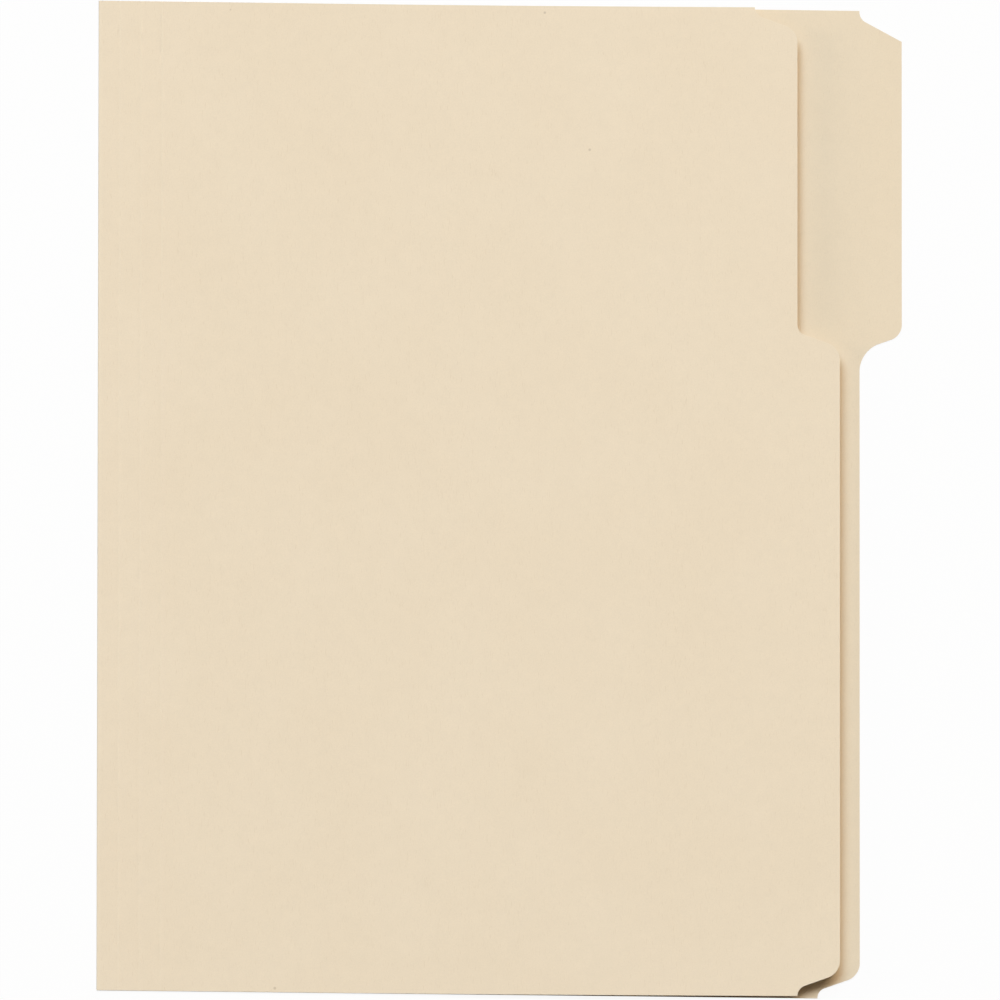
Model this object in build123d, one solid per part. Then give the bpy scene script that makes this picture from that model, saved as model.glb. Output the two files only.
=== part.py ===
from build123d import *
import os
from math import radians, tan

# Sheet sizes of a letter-size folder, in mm. The fold runs along Y at the left, the tab is at the
# upper right, and depths are measured from the outside of the fold.
folder_length = 298.45
back_depth = 228.6
front_depth = 222.25
stock = 0.28

# One die step makes the tab's height, the notch under the tab and the cut corners.
die_step = 12.7
flank_angle = 20
tab_reach = folder_length / 3 + 1.1
corner_reach = 4.6
outer_radius = 5.2
inner_radius = 3.0
tab_tip_radius = 4.5
tab_root_radius = 8.5
tab_end_angle = 28
tab_end_drop = 2.45
tab_end_radius = 3.9

# Creases: the pressed main fold, and the expansion scores beside it on the front leaf.
fold_gap = 0.2
fold_setback = 0.3
score_pitch = 6.35
bead_rise = 0.02
bead_setback = 0.13
hinge_clearance = 0.04

# The front leaf lies on the back, then springs up to its free edge: its bow is drawn as one bend.
bend_line = 115
bend_angle = 2.83

half_length = folder_length / 2
tab_depth = back_depth + die_step
notch_depth = front_depth - die_step
fold_radius = stock + fold_gap / 2
bead_radius = stock / 2 + bead_rise
leaf_bottom = stock + fold_gap
leaf_middle = leaf_bottom + stock / 2
score_lines = [score_pitch, 2 * score_pitch, 3 * score_pitch]
flank_rise = die_step / 2 * tan(radians(flank_angle))
tab_end_rise = die_step * tan(radians(tab_end_angle))
leaf_end = front_depth + die_step
leaf_rise = (leaf_end - bend_line) * tan(radians(bend_angle))


def die_cut(points, rounded):
    outline = make_face(Polyline(*points, close=True))
    for point, radius in rounded:
        corner = outline.vertices().sort_by_distance((*point, 0))[0]
        outline = fillet(corner, radius)
    return outline


def rod(radius, x, z):
    return Pos(x, 0, z) * Rot(90, 0, 0) * Cylinder(radius, folder_length)


def strip(start, end):
    width = end - start
    return Pos(start + width / 2, 0, leaf_middle) * Box(width, folder_length, stock)


def save(shape, node):
    export_step(Pos(-tab_depth / 2, 0, 0) * shape.solid(), f"parts/{node}.step")


os.makedirs("parts", exist_ok=True)

# Back cover with the tab, held by the main fold's bead at its left edge.
back_start = fold_radius + fold_setback
tab_line = half_length - tab_reach
low_corner = -half_length + corner_reach
tab_end = half_length - tab_end_drop
back_corner_in = (back_depth - die_step, low_corner - flank_rise)
back_corner_out = (back_depth, low_corner + flank_rise)
tab_root = (back_depth, tab_line - flank_rise)
tab_tip = (tab_depth, tab_line + flank_rise)
tab_end_in = (back_depth, tab_end)
back_outline = die_cut(
    [
        (back_start, -half_length),
        (back_depth - die_step, -half_length),
        back_corner_in,
        back_corner_out,
        tab_root,
        tab_tip,
        (tab_depth, tab_end - tab_end_rise),
        tab_end_in,
        (back_depth, half_length),
        (back_start, half_length),
    ],
    [
        (back_corner_in, inner_radius),
        (back_corner_out, outer_radius),
        (tab_root, tab_root_radius),
        (tab_tip, tab_tip_radius),
        (tab_end_in, tab_end_radius),
    ],
)
main_fold = rod(fold_radius, fold_radius, fold_radius)
back_cover = extrude(back_outline, stock) - main_fold

# Front cover from the last score to the free edge, notched under the tab.
front_start = score_lines[2] + bead_radius + hinge_clearance
notch_line = tab_line
high_corner = half_length - corner_reach
front_corner_in = (notch_depth, low_corner - flank_rise)
front_corner_out = (front_depth, low_corner + flank_rise)
notch_out = (front_depth, notch_line - flank_rise)
notch_in = (notch_depth, notch_line + flank_rise)
top_corner_out = (notch_depth, high_corner - flank_rise)
top_corner_in = (notch_depth - die_step, high_corner + flank_rise)
front_outline = die_cut(
    [
        (front_start, -half_length),
        (notch_depth, -half_length),
        front_corner_in,
        front_corner_out,
        notch_out,
        notch_in,
        top_corner_out,
        top_corner_in,
        (notch_depth - die_step, half_length),
        (front_start, half_length),
    ],
    [
        (front_corner_in, inner_radius),
        (front_corner_out, outer_radius),
        (notch_out, outer_radius),
        (notch_in, inner_radius),
        (top_corner_out, outer_radius),
        (top_corner_in, inner_radius),
    ],
)
inside_line = Polyline(
    (0, leaf_bottom), (bend_line, leaf_bottom), (leaf_end, leaf_bottom + leaf_rise)
)
leaf_section = make_face(offset(inside_line, stock, kind=Kind.INTERSECTION, side=Side.LEFT))
sprung_sheet = extrude(Plane.XZ * leaf_section, folder_length, both=True)
front_cover = sprung_sheet & extrude(front_outline, leaf_end)

# Gusset strips between the creases, seated on the beads of the scores at their sides. The first
# one turns round the main fold, and the front cover turns round the outer score.
strip_starts = [2 * fold_radius + hinge_clearance]
strip_starts += [line + bead_setback for line in score_lines[:2]]
score_beads = [rod(bead_radius, line, leaf_middle) for line in score_lines]
gusset_strips = [
    strip(start, line - bead_setback) - score_beads
    for start, line in zip(strip_starts, score_lines)
]

save(back_cover, "back_cover")
save(main_fold, "main_fold")
save(front_cover, "front_cover")
for number in range(3):
    save(gusset_strips[number], f"gusset_strip_{number + 1}")
    save(score_beads[number], f"score_bead_{number + 1}")

print("fold axis x", round(fold_radius - tab_depth / 2, 4), "z", round(fold_radius, 4))
print("outer score axis x", round(score_lines[2] - tab_depth / 2, 4), "z", round(leaf_middle, 4))
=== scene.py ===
import math
import bmesh
import bpy
from mathutils import Matrix, Vector


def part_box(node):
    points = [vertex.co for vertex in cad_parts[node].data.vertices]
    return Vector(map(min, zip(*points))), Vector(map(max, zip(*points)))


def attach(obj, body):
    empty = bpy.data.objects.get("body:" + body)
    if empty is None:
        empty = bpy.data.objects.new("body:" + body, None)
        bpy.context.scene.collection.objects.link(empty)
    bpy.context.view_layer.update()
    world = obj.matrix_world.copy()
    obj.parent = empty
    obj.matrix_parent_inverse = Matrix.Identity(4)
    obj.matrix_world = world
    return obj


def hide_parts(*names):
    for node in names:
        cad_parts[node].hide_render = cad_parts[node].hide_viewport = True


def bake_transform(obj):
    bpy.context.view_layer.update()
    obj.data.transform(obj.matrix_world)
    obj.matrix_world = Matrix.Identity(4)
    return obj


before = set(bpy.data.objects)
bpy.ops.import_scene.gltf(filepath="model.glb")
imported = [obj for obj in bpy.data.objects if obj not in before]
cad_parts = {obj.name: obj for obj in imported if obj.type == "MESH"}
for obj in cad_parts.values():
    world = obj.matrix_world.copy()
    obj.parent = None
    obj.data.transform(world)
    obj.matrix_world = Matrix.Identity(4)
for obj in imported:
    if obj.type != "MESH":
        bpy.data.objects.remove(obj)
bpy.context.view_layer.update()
print("frame loaded:", sorted(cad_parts))

mm = 0.001
hair = 0.004 * mm  # closer than this counts as the same place
snap = 0.001 * mm  # a point nearer than this to a cut lies on it

# the board and its die cuts; x runs from the outside of the fold, y from the middle of its length
board = {
    "thick": 0.28 * mm,
    "length": 298.45 * mm,
    "dieStep": 12.7 * mm,            # tab height, notch and cut corners
    "flankAngle": math.radians(20),  # slant of the cuts
    "cornerReach": 4.6 * mm,         # from the end of the fold to the middle of a corner cut
    "tabOver": 1.1 * mm,             # what the tab has over a third of the length
    "innerRadius": 3.0 * mm,
    "outerRadius": 5.2 * mm,
    "arcSegments": 10,
    "rimWidth": 0.15 * mm,           # band along a cut edge for its pale tone and painted highlight, narrower than the shortest cut
    "spare": 2 * mm,                 # trimmed off where the sheet goes on
    "flatAngle": math.radians(1),    # faces that meet flatter than this become one
    "smoothAngle": math.radians(35),
}

# the main fold and the three expansion scores
crease = {
    "radius": 0.38 * mm,
    "gapLow": 0.29 * mm,             # a gap between these heights, over the back
    "gapHigh": 0.40 * mm,            # and under the beads
    "scorePitch": 6.35 * mm,
    "depth": 0.03 * mm,
    "bead": 0.04 * mm,               # how much further a score stands out on the inside
    "floorHalf": 0.12 * mm,
    "sideHalf": 0.4 * mm,
    "flatHalf": 0.5 * mm,            # the board is flat again from here
    "bendHalf": 0.6 * mm,
    "wearReach": 1.3 * mm,
    "scoreWear": 0.5,                # the fold's is 1
}

half = board["length"] / 2
dieStep = board["dieStep"]
flank = dieStep * math.tan(board["flankAngle"])          # how far a slanted cut runs along the edge
cornerIn = half - board["cornerReach"] + flank / 2       # start of the corner cuts
tabLine = half - board["length"] / 3 - board["tabOver"]  # middle of the tab's slanted end
radius = crease["radius"]
leafTop = 2 * radius
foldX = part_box("main_fold")[0][0]
foldCentre = (radius, 0, radius)
scoreLines = [Vector((number * crease["scorePitch"], 0, leafTop)) for number in (1, 2, 3)]
along = Vector((1, 0, 0))
upward = Vector((0, 0, 1))


def near(a, b):
    return abs(a - b) < hair


def deselectAll():
    if bpy.context.object and bpy.context.object.mode != "OBJECT":
        bpy.ops.object.mode_set(mode="OBJECT")
    bpy.ops.object.select_all(action="DESELECT")


def pickVerts(piece, test):
    bpy.ops.mesh.select_mode(type="VERT")
    bpy.ops.mesh.select_all(action="DESELECT")
    mesh = bmesh.from_edit_mesh(piece.data)
    for vert in mesh.verts:
        if test(vert.co):
            vert.select_set(True)
    bmesh.update_edit_mesh(piece.data)


def pickEdges(piece, test):
    bpy.ops.mesh.select_mode(type="EDGE")
    bpy.ops.mesh.select_all(action="DESELECT")
    mesh = bmesh.from_edit_mesh(piece.data)
    for edge in mesh.edges:
        if all(test(vert.co) for vert in edge.verts):
            edge.select_set(True)
    bmesh.update_edit_mesh(piece.data)


def cutAcross(point, normal, clearInner=False):
    bpy.ops.mesh.select_all(action="SELECT")
    bpy.ops.mesh.bisect(plane_co=point, plane_no=normal, clear_inner=clearInner, threshold=snap)


def startSheet(name, x0, x1, z):
    # a flat board from x0 to x1 over the whole length, left in edit mode
    deselectAll()
    bpy.ops.mesh.primitive_plane_add(size=1, location=((x0 + x1) / 2, 0, z))
    piece = bpy.context.object
    piece.name = name
    piece.data.name = name
    piece.scale = (x1 - x0, 2 * half, 1)
    bpy.ops.object.transform_apply(location=True, rotation=True, scale=True)
    bpy.ops.object.mode_set(mode="EDIT")
    return piece


def drawStep(piece, x, y0, y1, shift0, shift1):
    # draws a stretch of the edge out by one die step and slants its two ends
    for y in (y0, y1):
        if not near(abs(y), half):
            cutAcross((0, y, 0), (0, 1, 0))
    pickEdges(piece, lambda p: near(p.x, x) and y0 - hair < p.y < y1 + hair)
    bpy.ops.mesh.extrude_edges_move(TRANSFORM_OT_translate={"value": (dieStep, 0, 0)})
    for y, shift in ((y0, shift0), (y1, shift1)):
        if shift:
            pickVerts(piece, lambda p: near(p.x, x + dieStep) and near(p.y, y))
            bpy.ops.transform.translate(value=(0, shift, 0))


def mergeFaces():
    bpy.ops.mesh.select_mode(type="FACE")
    bpy.ops.mesh.select_all(action="SELECT")
    bpy.ops.mesh.dissolve_limited(angle_limit=board["flatAngle"])


def roundCorner(piece, x, y, size):
    pickVerts(piece, lambda p: near(p.x, x) and near(p.y, y))
    mesh = bmesh.from_edit_mesh(piece.data)
    corner = next(vert for vert in mesh.verts if vert.select)
    sides = [edge.other_vert(corner).co - corner.co for edge in corner.link_edges]
    tangent = size / math.tan(sides[0].angle(sides[1]) / 2)
    bpy.ops.mesh.bevel(affect="VERTICES", offset=tangent, segments=board["arcSegments"], profile=0.5)


def insetEdgeBand(trimAt):
    # a narrow band along the cut edges, painted paler partly as the board's own edge and partly as a
    # painted highlight; on the left it goes away with the spare board
    bpy.ops.mesh.select_mode(type="FACE")
    bpy.ops.mesh.select_all(action="SELECT")
    bpy.ops.mesh.inset(thickness=board["rimWidth"], depth=0, use_boundary=True, use_even_offset=True)
    cutAcross((trimAt, 0, 0), along, clearInner=True)


def pressScore(piece, point):
    # lines across the sheet, the middle ones pushed in
    reaches = [crease["floorHalf"], crease["sideHalf"], crease["flatHalf"]]
    for offset in [0] + reaches + [-reach for reach in reaches]:
        cutAcross(point + offset * along, along)
    pickVerts(piece, lambda p: abs(p.x - point.x) < crease["floorHalf"] + hair and near(p.z, point.z))
    bpy.ops.transform.translate(value=-crease["depth"] * upward)


def markEdgesAndCreases(piece, seams):
    # rim is 1 on a cut edge, for its pale tone and painted highlight; the crease mark is 1 on the fold and
    # less on a score, for rubbing outside and for burnishing with painted shade inside
    bpy.ops.mesh.select_mode(type="VERT")
    bpy.ops.mesh.select_all(action="DESELECT")
    bpy.ops.mesh.select_non_manifold(extend=False)
    bpy.ops.object.mode_set(mode="OBJECT")
    rim = piece.data.attributes.new("rim", "FLOAT", "POINT")
    wearAndCreaseShade = piece.data.attributes.new("wearAndCreaseShade", "FLOAT", "POINT")
    for vert in piece.data.vertices:
        onSeam = any(near(vert.co.x, seam.x) for seam in seams) and not near(vert.co.z, 0)
        atEnd = near(abs(vert.co.y), half)
        rim.data[vert.index].value = 1.0 if vert.select and (atEnd or not onSeam) else 0.0
        onFold = vert.co.x < radius + hair
        onScore = near(vert.co.z, leafTop - crease["depth"])
        wearAndCreaseShade.data[vert.index].value = 1.0 if onFold else crease["scoreWear"] if onScore else 0.0


def faceOut(piece):
    # one side all the way round the fold, with the back's underside looking down
    bpy.ops.mesh.select_all(action="SELECT")
    bpy.ops.mesh.normals_make_consistent(inside=False)
    mesh = bmesh.from_edit_mesh(piece.data)
    if max(mesh.faces, key=lambda face: face.calc_area()).normal.z > 0:
        bpy.ops.mesh.flip_normals()


def giveThickness(piece):
    # the wall grows towards the inside of the folder
    deselectAll()
    piece.select_set(True)
    bpy.context.view_layer.objects.active = piece
    outsideCount = len(piece.data.vertices)
    wall = piece.modifiers.new("board", "SOLIDIFY")
    wall.thickness = board["thick"]
    wall.offset = -1
    wall.use_even_offset = True
    bpy.ops.object.modifier_apply(modifier=wall.name)
    inner = piece.data.attributes.new("inner", "FLOAT", "POINT")
    for vert in piece.data.vertices:
        inner.data[vert.index].value = float(vert.index >= outsideCount)
    bpy.ops.object.mode_set(mode="EDIT")


def raiseBeads(piece, scores):
    # the pressed scores stand out on the inside
    beadHalf = (crease["floorHalf"] + crease["sideHalf"]) / 2
    beadTop = leafTop - board["thick"] - crease["depth"] / 2
    for score in scores:
        pickVerts(piece, lambda p: abs(p.x - score.x) < beadHalf and radius < p.z < beadTop)
        bpy.ops.transform.translate(value=-crease["bead"] * upward)


def settle(piece):
    # moves the piece to its place, which its points remember as restPlace
    bpy.ops.mesh.select_all(action="SELECT")
    bpy.ops.mesh.normals_make_consistent(inside=False)
    bpy.ops.transform.translate(value=(foldX, 0, 0))
    bpy.ops.object.mode_set(mode="OBJECT")
    restPlace = piece.data.attributes.new("restPlace", "FLOAT_VECTOR", "POINT")
    for vert in piece.data.vertices:
        restPlace.data[vert.index].vector = vert.co
    bpy.ops.object.shade_smooth_by_angle(angle=board["smoothAngle"])
    print(piece.name, "made:", len(piece.data.vertices), "points")


# back leaf: the cover with its tab, the round fold and the first gusset strip, all one sheet
backCut = {
    "depth": 228.6 * mm,
    "tabRootRadius": 8.5 * mm,
    "tabTipRadius": 4.5 * mm,
    "tabEndDrop": 2.45 * mm,
    "tabEndAngle": math.radians(28),
    "tabEndRadius": 3.2 * mm,
    "foldSteps": 36,
}
backDepth = backCut["depth"]
cornerX = backDepth - dieStep
tabRoot = tabLine - flank / 2
tabEnd = half - backCut["tabEndDrop"]
tabEndShift = -dieStep * math.tan(backCut["tabEndAngle"])
firstStrip = scoreLines[0].x - radius
backLeaf = startSheet("backLeaf", radius - board["spare"], cornerX, 0)
drawStep(backLeaf, cornerX, -cornerIn, half, flank, 0)
drawStep(backLeaf, backDepth, tabRoot, tabEnd, flank, tabEndShift)
mergeFaces()
roundCorner(backLeaf, cornerX, -cornerIn, board["innerRadius"])
roundCorner(backLeaf, backDepth, flank - cornerIn, board["outerRadius"])
roundCorner(backLeaf, backDepth, tabRoot, backCut["tabRootRadius"])
roundCorner(backLeaf, backDepth + dieStep, tabRoot + flank, backCut["tabTipRadius"])
roundCorner(backLeaf, backDepth, tabEnd, backCut["tabEndRadius"])
insetEdgeBand(radius)
pickEdges(backLeaf, lambda p: near(p.x, radius))
bpy.ops.mesh.spin(steps=backCut["foldSteps"], angle=math.pi, center=foldCentre, axis=(0, -1, 0))
pickEdges(backLeaf, lambda p: near(p.x, radius) and near(p.z, leafTop))
bpy.ops.mesh.extrude_edges_move(TRANSFORM_OT_translate={"value": (firstStrip, 0, 0)})
cutAcross((crease["wearReach"], 0, 0), along)
pressScore(backLeaf, scoreLines[0])
faceOut(backLeaf)
markEdgesAndCreases(backLeaf, scoreLines[:1])
giveThickness(backLeaf)
raiseBeads(backLeaf, scoreLines[:1])
settle(backLeaf)

# gusset band: the strip between the first and the second score
bandStart = scoreLines[0].x
bandEnd = scoreLines[1].x
gussetBand = startSheet("gussetBand", bandStart - board["spare"], bandEnd + board["spare"], leafTop)
insetEdgeBand(bandStart)
cutAcross((bandEnd, 0, 0), -along, clearInner=True)
for score in scoreLines[:2]:
    pressScore(gussetBand, score)
markEdgesAndCreases(gussetBand, scoreLines[:2])
giveThickness(gussetBand)
raiseBeads(gussetBand, scoreLines[:2])
settle(gussetBand)

# front leaf: the last gusset strip and the cover with its notch, bowed up to its free edge
frontCut = {
    "depth": 222.25 * mm,
    "bowStart": 70 * mm,
    "bowEnd": 160 * mm,
    "bowTurn": math.radians(2.83),
    "bowSteps": 16,
}
frontDepth = frontCut["depth"]
notchX = frontDepth - dieStep
topX = notchX - dieStep
notchTop = tabLine + flank / 2
bowStep = (frontCut["bowEnd"] - frontCut["bowStart"]) / frontCut["bowSteps"]
bowLines = [frontCut["bowStart"] + (step + 0.5) * bowStep for step in range(frontCut["bowSteps"])]
lineTurn = frontCut["bowTurn"] / frontCut["bowSteps"]
frontLeaf = startSheet("frontLeaf", bandEnd - board["spare"], topX, leafTop)
drawStep(frontLeaf, topX, -half, cornerIn, 0, -flank)
drawStep(frontLeaf, notchX, -cornerIn, notchTop, flank, -flank)
mergeFaces()
roundCorner(frontLeaf, notchX, -cornerIn, board["innerRadius"])
roundCorner(frontLeaf, frontDepth, flank - cornerIn, board["outerRadius"])
roundCorner(frontLeaf, frontDepth, notchTop - flank, board["outerRadius"])
roundCorner(frontLeaf, notchX, notchTop, board["innerRadius"])
roundCorner(frontLeaf, notchX, cornerIn - flank, board["outerRadius"])
roundCorner(frontLeaf, topX, cornerIn, board["innerRadius"])
insetEdgeBand(bandEnd)
for score in scoreLines[1:]:
    pressScore(frontLeaf, score)
for offset in (-crease["bendHalf"], crease["bendHalf"]):
    cutAcross(scoreLines[2] + offset * along, along)
for x in bowLines:
    cutAcross((x, 0, 0), along)
markEdgesAndCreases(frontLeaf, scoreLines[1:2])
bpy.ops.object.mode_set(mode="EDIT")
for x in reversed(bowLines):
    pickVerts(frontLeaf, lambda p: p.x > x + hair)
    bpy.ops.transform.rotate(value=lineTurn, orient_axis="Y", center_override=(x, 0, leafTop))
giveThickness(frontLeaf)
raiseBeads(frontLeaf, scoreLines[1:])
settle(frontLeaf)

# manila board
manila = {
    "tint": (0.834, 0.714, 0.545, 1),
    "tintDeep": (0.826, 0.703, 0.532, 1),
    "inside": (0.975, 0.972, 0.955, 1),                  # times the colour of the outside
    "pulp": {"size": 24, "detail": 4, "rough": 0.55},    # clouds of about 40 mm
    "cloud": {"size": 240, "detail": 5, "rough": 0.6},   # mottle of about 4 mm
    "grain": {"size": 2300, "detail": 3, "rough": 0.5},  # tooth of about 0.4 mm
    "pulpSpan": (0.35, 0.65),
    "noiseSpan": (0.3, 0.7),
    "cloudTone": (-0.012, 0.012),
    "grainTone": (0.982, 1.018),
    "fibre": (0.60, 0.45, 0.28, 1),
    "fibreShare": 0.22,
    "fibreLay": {"size": 1, "detail": 1, "rough": 0.5},
    "fibreScale": (5200, 420, 420),                      # thin across, long in line
    "fibreTurns": (math.radians(18), math.radians(-47)),
    "fibreSpan": (0.68, 0.76),
    "speck": (0.26, 0.17, 0.10, 1),
    "speckShare": 0.3,
    "speckCells": 75,
    "speckChance": (0.86, 0.87),                         # few cells have a speck
    "speckSpan": (0.040, 0.026),
    # the cut edge's pale tone, partly the board's own and partly a painted highlight
    "cutEdge": (0.97, 0.90, 0.77, 1),
    "cutShare": 0.3,
    "wear": (0.90, 0.80, 0.64, 1),
    "wearShare": 0.15,
    "creased": (0.66, 0.52, 0.36, 1),                    # the creases on the inside, darker partly from burnishing and partly as painted shade
    "creasedShare": 0.4,
    "roughness": (0.62, 0.80),
    "gloss": 0.25,
    "toothStrength": 0.35,
    "toothDepth": 0.03 * mm,
    "toothGrain": 0.6,
    "toothCloud": 0.8,
}


def addNode(tree, kind, **settings):
    node = tree.nodes.new(kind)
    for name, value in settings.items():
        setattr(node, name, value)
    return node


def feed(tree, node, **sockets):
    # plugs links in and sets values, by socket name with spaces left out
    for socket in node.inputs:
        key = socket.name.replace(" ", "")
        if key in sockets:
            value = sockets.pop(key)
            if isinstance(value, bpy.types.NodeSocket):
                tree.links.new(value, socket)
            else:
                socket.default_value = value
    return node


def mark(tree, name):
    return addNode(tree, "ShaderNodeAttribute", attribute_name=name)


def noise(tree, place, layer):
    node = addNode(tree, "ShaderNodeTexNoise")
    feed(tree, node, Vector=place, Scale=layer["size"], Detail=layer["detail"], Roughness=layer["rough"])
    return node.outputs["Fac"]


def remap(tree, value, span, to=(0, 1)):
    node = addNode(tree, "ShaderNodeMapRange")
    feed(tree, node, Value=value, FromMin=span[0], FromMax=span[1], ToMin=to[0], ToMax=to[1])
    return node.outputs["Result"]


def maths(tree, operation, a, b):
    node = addNode(tree, "ShaderNodeMath", operation=operation)
    for socket, value in zip(node.inputs, (a, b)):
        if isinstance(value, bpy.types.NodeSocket):
            tree.links.new(value, socket)
        else:
            socket.default_value = value
    return node.outputs[0]


def blendColour(tree, share, first, second, mode="MIX"):
    node = addNode(tree, "ShaderNodeMixRGB", blend_type=mode)
    feed(tree, node, Fac=share, Color1=first, Color2=second)
    return node.outputs["Color"]


def layFibres(tree, place):
    # two lays of short threads
    fibres = 0
    for turn in manila["fibreTurns"]:
        lay = addNode(tree, "ShaderNodeMapping")
        feed(tree, lay, Vector=place, Rotation=(0, 0, turn), Scale=manila["fibreScale"])
        threads = noise(tree, lay.outputs["Vector"], manila["fibreLay"])
        fibres = maths(tree, "MAXIMUM", fibres, remap(tree, threads, manila["fibreSpan"]))
    return maths(tree, "MULTIPLY", fibres, manila["fibreShare"])


def strewSpecks(tree, place):
    # a dot in the middle of a cell, in the few cells that draw one
    cells = addNode(tree, "ShaderNodeTexVoronoi")
    feed(tree, cells, Vector=place, Scale=manila["speckCells"])
    chance = addNode(tree, "ShaderNodeSeparateColor")
    feed(tree, chance, Color=cells.outputs["Color"])
    rare = remap(tree, chance.outputs["Red"], manila["speckChance"])
    dot = maths(tree, "MULTIPLY", remap(tree, cells.outputs["Distance"], manila["speckSpan"]), rare)
    return maths(tree, "MULTIPLY", dot, manila["speckShare"])


def makeManila():
    finish = bpy.data.materials.new("manilaBoard")
    finish.use_nodes = True
    tree = finish.node_tree
    shader = tree.nodes["Principled BSDF"]
    place = mark(tree, "restPlace").outputs["Vector"]  # the grain stays put when the sheet bends
    inner = mark(tree, "inner").outputs["Fac"]
    wearAndCreaseShade = mark(tree, "wearAndCreaseShade").outputs["Fac"]
    rim = mark(tree, "rim").outputs["Fac"]
    pulp = noise(tree, place, manila["pulp"])
    cloud = noise(tree, place, manila["cloud"])
    grain = noise(tree, place, manila["grain"])

    colour = blendColour(tree, remap(tree, pulp, manila["pulpSpan"]), manila["tint"], manila["tintDeep"])
    cloudTone = remap(tree, cloud, manila["noiseSpan"], manila["cloudTone"])
    grainTone = remap(tree, grain, manila["noiseSpan"], manila["grainTone"])
    colour = blendColour(tree, 1, colour, maths(tree, "ADD", cloudTone, grainTone), "MULTIPLY")
    colour = blendColour(tree, inner, colour, manila["inside"], "MULTIPLY")
    colour = blendColour(tree, layFibres(tree, place), colour, manila["fibre"])
    colour = blendColour(tree, strewSpecks(tree, place), colour, manila["speck"])

    # paler where the fold is rubbed, darker in the creases on the inside partly from burnishing and partly
    # as painted shade, paler on a cut edge partly from its own tone and partly as a painted highlight
    wearAndShadeShare = remap(tree, inner, (0, 1), (manila["wearShare"], manila["creasedShare"]))
    wearAndShadeTint = blendColour(tree, inner, manila["wear"], manila["creased"])
    colour = blendColour(tree, maths(tree, "MULTIPLY", wearAndCreaseShade, wearAndShadeShare), colour, wearAndShadeTint)
    # painted highlight along the cut edges, mixed with their own paler tone
    colour = blendColour(tree, maths(tree, "MULTIPLY", rim, manila["cutShare"]), colour, manila["cutEdge"])

    fine = maths(tree, "MULTIPLY", grain, manila["toothGrain"])
    height = maths(tree, "ADD", fine, maths(tree, "MULTIPLY", cloud, manila["toothCloud"]))
    tooth = addNode(tree, "ShaderNodeBump")
    feed(tree, tooth, Strength=manila["toothStrength"], Distance=manila["toothDepth"], Height=height)
    roughness = remap(tree, grain, manila["noiseSpan"], manila["roughness"])
    feed(tree, shader, BaseColor=colour, Roughness=roughness, Normal=tooth.outputs["Normal"],
         SpecularIORLevel=manila["gloss"])
    return finish


manilaBoard = makeManila()
for piece in (backLeaf, gussetBand, frontLeaf):
    piece.data.materials.append(manilaBoard)
print("materials made")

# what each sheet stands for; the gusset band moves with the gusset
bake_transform(backLeaf)
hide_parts("back_cover", "main_fold", "gusset_strip_1")
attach(gussetBand, "gusset")
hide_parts("score_bead_1", "gusset_strip_2", "score_bead_2")
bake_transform(frontLeaf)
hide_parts("gusset_strip_3", "score_bead_3", "front_cover")

# floor, light and background
studio = {
    "floorSize": 12,
    "floorDrop": 0.1 * mm,
    "floorTint": (0.5, 0.5, 0.5, 1),
    "glow": 1.07,
    "glowShare": 0.86,
    "ambient": 0.012,
    "ambientTint": (1, 0.6, 0.35, 1),
    "skyTint": (1, 1, 1, 1),
    "lamps": [
        {"name": "keyLeft", "power": 511, "tint": (0.646, 0.82, 0.99),
         "place": (-2, 3.6, 7.1), "size": (4, 4.6)},
        {"name": "keyRight", "power": 388, "tint": (1, 0.8, 0.58),
         "place": (2, 3.6, 7.1), "size": (4, 4.6)},
        {"name": "sideLeft", "power": 128, "tint": (1, 0.83, 0.67),
         "place": (-7.5, 0.5, 2.7), "size": (2.5, 2.5)},
        {"name": "sideRight", "power": 64, "tint": (1, 0.85, 0.7),
         "place": (7.5, 0.5, 2.7), "size": (2.5, 2.5)},
    ],
}


def seenRays(tree):
    # 1 for the camera and for what gloss and glass show of the background
    path = addNode(tree, "ShaderNodeLightPath")
    seen = maths(tree, "MAXIMUM", path.outputs["Is Camera Ray"], path.outputs["Is Glossy Ray"])
    return maths(tree, "MAXIMUM", seen, path.outputs["Is Transmission Ray"])


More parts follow.
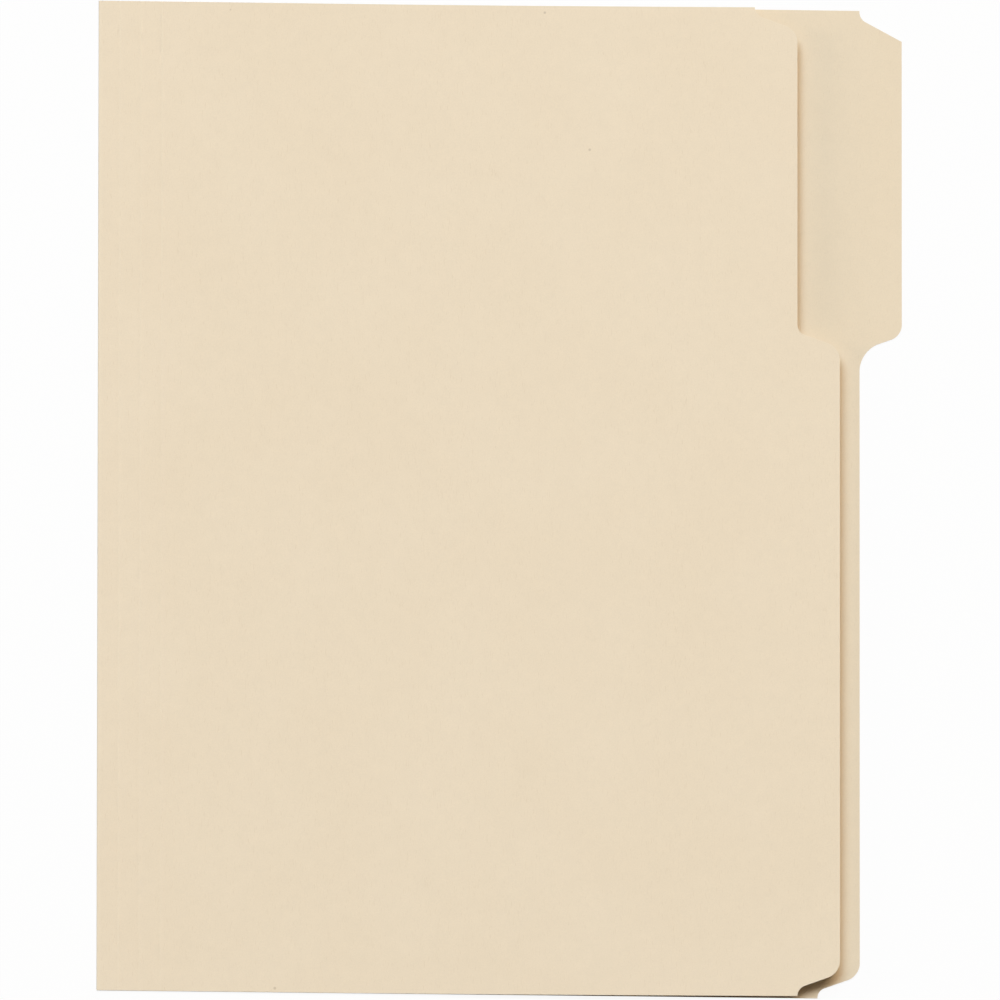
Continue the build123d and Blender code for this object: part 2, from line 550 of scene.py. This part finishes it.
def makeFloor():
    deselectAll()
    bpy.ops.mesh.primitive_plane_add(size=studio["floorSize"], location=(0, 0, -studio["floorDrop"]))
    floor = bpy.context.object
    floor.name = "floor"
    finish = bpy.data.materials.new("paleFloor")
    finish.use_nodes = True
    tree = finish.node_tree
    tree.nodes.remove(tree.nodes["Principled BSDF"])
    matt = feed(tree, addNode(tree, "ShaderNodeBsdfDiffuse"), Color=studio["floorTint"])
    glow = feed(tree, addNode(tree, "ShaderNodeEmission"), Strength=studio["glow"])
    share = addNode(tree, "ShaderNodeMixShader")
    tree.links.new(maths(tree, "MULTIPLY", seenRays(tree), studio["glowShare"]), share.inputs[0])
    tree.links.new(matt.outputs[0], share.inputs[1])
    tree.links.new(glow.outputs[0], share.inputs[2])
    tree.links.new(share.outputs[0], tree.nodes["Material Output"].inputs["Surface"])
    floor.data.materials.append(finish)


def makeLamp(plan):
    deselectAll()
    bpy.ops.object.light_add(type="AREA", location=plan["place"])
    lamp = bpy.context.object
    lamp.name = plan["name"]
    lamp.data.shape = "RECTANGLE"
    lamp.data.size, lamp.data.size_y = plan["size"]
    lamp.data.energy = plan["power"]
    lamp.data.color = plan["tint"]
    lamp.rotation_euler = Vector(plan["place"]).to_track_quat("Z", "Y").to_euler()  # at the folder
    lamp.visible_camera = False


def makeWorld():
    world = bpy.data.worlds.new("studioWhite")
    bpy.context.scene.world = world
    world.use_nodes = True
    tree = world.node_tree
    sky = tree.nodes["Background"]
    seen = seenRays(tree)
    feed(tree, sky, Color=blendColour(tree, seen, studio["ambientTint"], studio["skyTint"]),
         Strength=maths(tree, "MAXIMUM", seen, studio["ambient"]))


makeFloor()
for plan in studio["lamps"]:
    makeLamp(plan)
makeWorld()
print("studio set")

# camera, nearly overhead and far off, because the picture hardly narrows with distance
shot = {
    "aim": (0.004 * mm, -0.079 * mm, 0),
    "distance": 12.0,
    "turn": math.radians(-30.436),
    "tilt": math.radians(9.213),
    "roll": math.radians(0.053),
    "lens": 1444.84,
    "sensor": 36,
    "clipEnd": 50,
}


def makeCamera():
    sideways = math.sin(shot["tilt"])
    away = Vector((sideways * math.sin(shot["turn"]), -sideways * math.cos(shot["turn"]),
                   math.cos(shot["tilt"])))
    right = Vector((0, 1, 0)).cross(away).normalized()
    up = away.cross(right)
    lean = Matrix.Rotation(shot["roll"], 3, away)
    facing = Matrix((lean @ right, lean @ up, away)).transposed().to_4x4()
    deselectAll()
    bpy.ops.object.camera_add()
    camera = bpy.context.object
    camera.matrix_world = Matrix.Translation(Vector(shot["aim"]) + shot["distance"] * away) @ facing
    camera.data.lens = shot["lens"]
    camera.data.sensor_width = shot["sensor"]
    camera.data.clip_end = shot["clipEnd"]
    bpy.context.scene.camera = camera


makeCamera()
bpy.context.scene.view_settings.view_transform = "Standard"
print("camera set")
